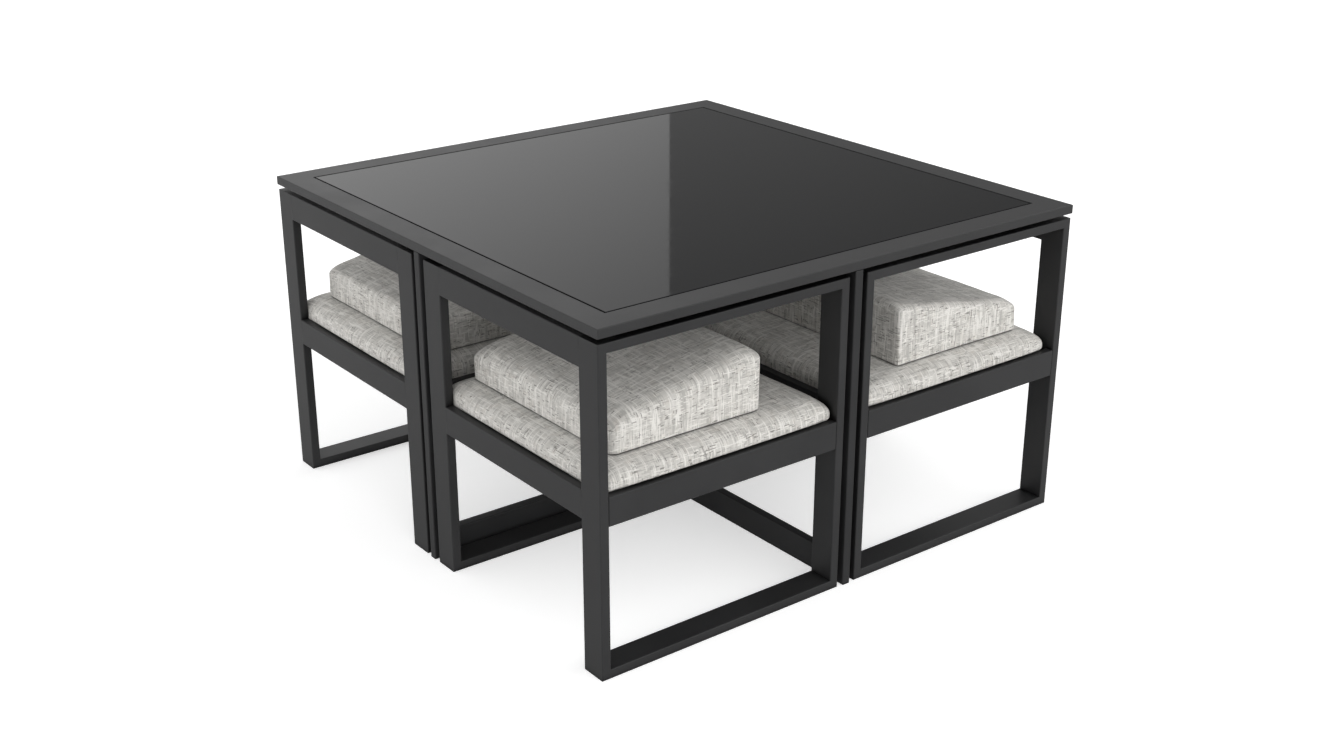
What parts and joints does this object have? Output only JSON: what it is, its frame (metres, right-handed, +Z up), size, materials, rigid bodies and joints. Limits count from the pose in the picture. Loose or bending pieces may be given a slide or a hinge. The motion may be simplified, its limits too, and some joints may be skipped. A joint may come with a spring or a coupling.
{
  "type": "garden dining set",
  "caption": "Square glass-topped garden table with cube armchairs stored under it, each with a drop-in seat cushion and a loose wedge-shaped back cushion.",
  "frame": {"origin": "on the floor under the middle of the table", "axes": "+Z up; +X along the right front side of the pictured set and +Y along its left front side, both away from the near corner; the chairs are drawn out along X"},
  "size_m": [1.25, 1.25, 0.71],
  "materials": {
    "frame_paint": "satin anthracite powder coat",
    "base_paint": "satin anthracite powder coat",
    "deck_paint": "matt anthracite powder coat",
    "glass": "polished black tempered glass",
    "gasket_rubber": "matt black rubber strip",
    "zinc": "zinc-plated folded steel",
    "seat_fabric": "light greige slub tweed",
    "back_fabric": "light greige slub tweed"
  },
  "bodies": {
    "table": {"tabletop_frame": "frame_paint", "glass_gasket": "gasket_rubber", "glass_top": "glass", "glass_crossbar_long": "base_paint", "glass_crossbar_short": "base_paint", "base_frame_long": "base_paint", "base_frame_cross": "base_paint", "near_left_bracket": "zinc", "near_right_bracket": "zinc", "far_left_bracket": "zinc", "far_right_bracket": "zinc"},
    "near_chair": {"near_chair_outer_hoop": "frame_paint", "near_chair_inner_hoop": "frame_paint", "near_chair_outer_seat_rail": "frame_paint", "near_chair_inner_seat_rail": "frame_paint", "near_chair_back_top_rail": "frame_paint", "near_chair_back_seat_rail": "frame_paint", "near_chair_front_seat_rail": "frame_paint", "near_chair_seat_deck": "deck_paint", "near_chair_seat_cushion": "seat_fabric"},
    "near_cushion": {"near_chair_back_cushion": "back_fabric"},
    "left_chair": {"left_chair_outer_hoop": "frame_paint", "left_chair_inner_hoop": "frame_paint", "left_chair_outer_seat_rail": "frame_paint", "left_chair_inner_seat_rail": "frame_paint", "left_chair_back_top_rail": "frame_paint", "left_chair_back_seat_rail": "frame_paint", "left_chair_front_seat_rail": "frame_paint", "left_chair_seat_deck": "deck_paint", "left_chair_seat_cushion": "seat_fabric"},
    "left_cushion": {"left_chair_back_cushion": "back_fabric"},
    "right_chair": {"right_chair_outer_hoop": "frame_paint", "right_chair_inner_hoop": "frame_paint", "right_chair_outer_seat_rail": "frame_paint", "right_chair_inner_seat_rail": "frame_paint", "right_chair_back_top_rail": "frame_paint", "right_chair_back_seat_rail": "frame_paint", "right_chair_front_seat_rail": "frame_paint", "right_chair_seat_deck": "deck_paint", "right_chair_seat_cushion": "seat_fabric"},
    "right_cushion": {"right_chair_back_cushion": "back_fabric"},
    "far_chair": {"far_chair_outer_hoop": "frame_paint", "far_chair_inner_hoop": "frame_paint", "far_chair_outer_seat_rail": "frame_paint", "far_chair_inner_seat_rail": "frame_paint", "far_chair_back_top_rail": "frame_paint", "far_chair_back_seat_rail": "frame_paint", "far_chair_front_seat_rail": "frame_paint", "far_chair_seat_deck": "deck_paint", "far_chair_seat_cushion": "seat_fabric"},
    "far_cushion": {"far_chair_back_cushion": "back_fabric"}
  },
  "joints": [
    {"name": "near_chair_draw_out", "type": "slide", "parent": "table", "child": "near_chair", "axis": [-1, 0, 0], "range_m": [0, 0.7]},
    {"name": "left_chair_draw_out", "type": "slide", "parent": "table", "child": "left_chair", "axis": [-1, 0, 0], "range_m": [0, 0.7]},
    {"name": "right_chair_draw_out", "type": "slide", "parent": "table", "child": "right_chair", "axis": [1, 0, 0], "range_m": [0, 0.7]},
    {"name": "far_chair_draw_out", "type": "slide", "parent": "table", "child": "far_chair", "axis": [1, 0, 0], "range_m": [0, 0.7]},
    {"name": "near_cushion_take_out", "type": "slide", "parent": "near_chair", "child": "near_cushion", "axis": [0, -1, 0], "range_m": [0, 0.6]},
    {"name": "left_cushion_take_out", "type": "slide", "parent": "left_chair", "child": "left_cushion", "axis": [0, 1, 0], "range_m": [0, 0.6]},
    {"name": "right_cushion_take_out", "type": "slide", "parent": "right_chair", "child": "right_cushion", "axis": [0, -1, 0], "range_m": [0, 0.6]},
    {"name": "far_cushion_take_out", "type": "slide", "parent": "far_chair", "child": "far_cushion", "axis": [0, 1, 0], "range_m": [0, 0.6]}
  ]
}
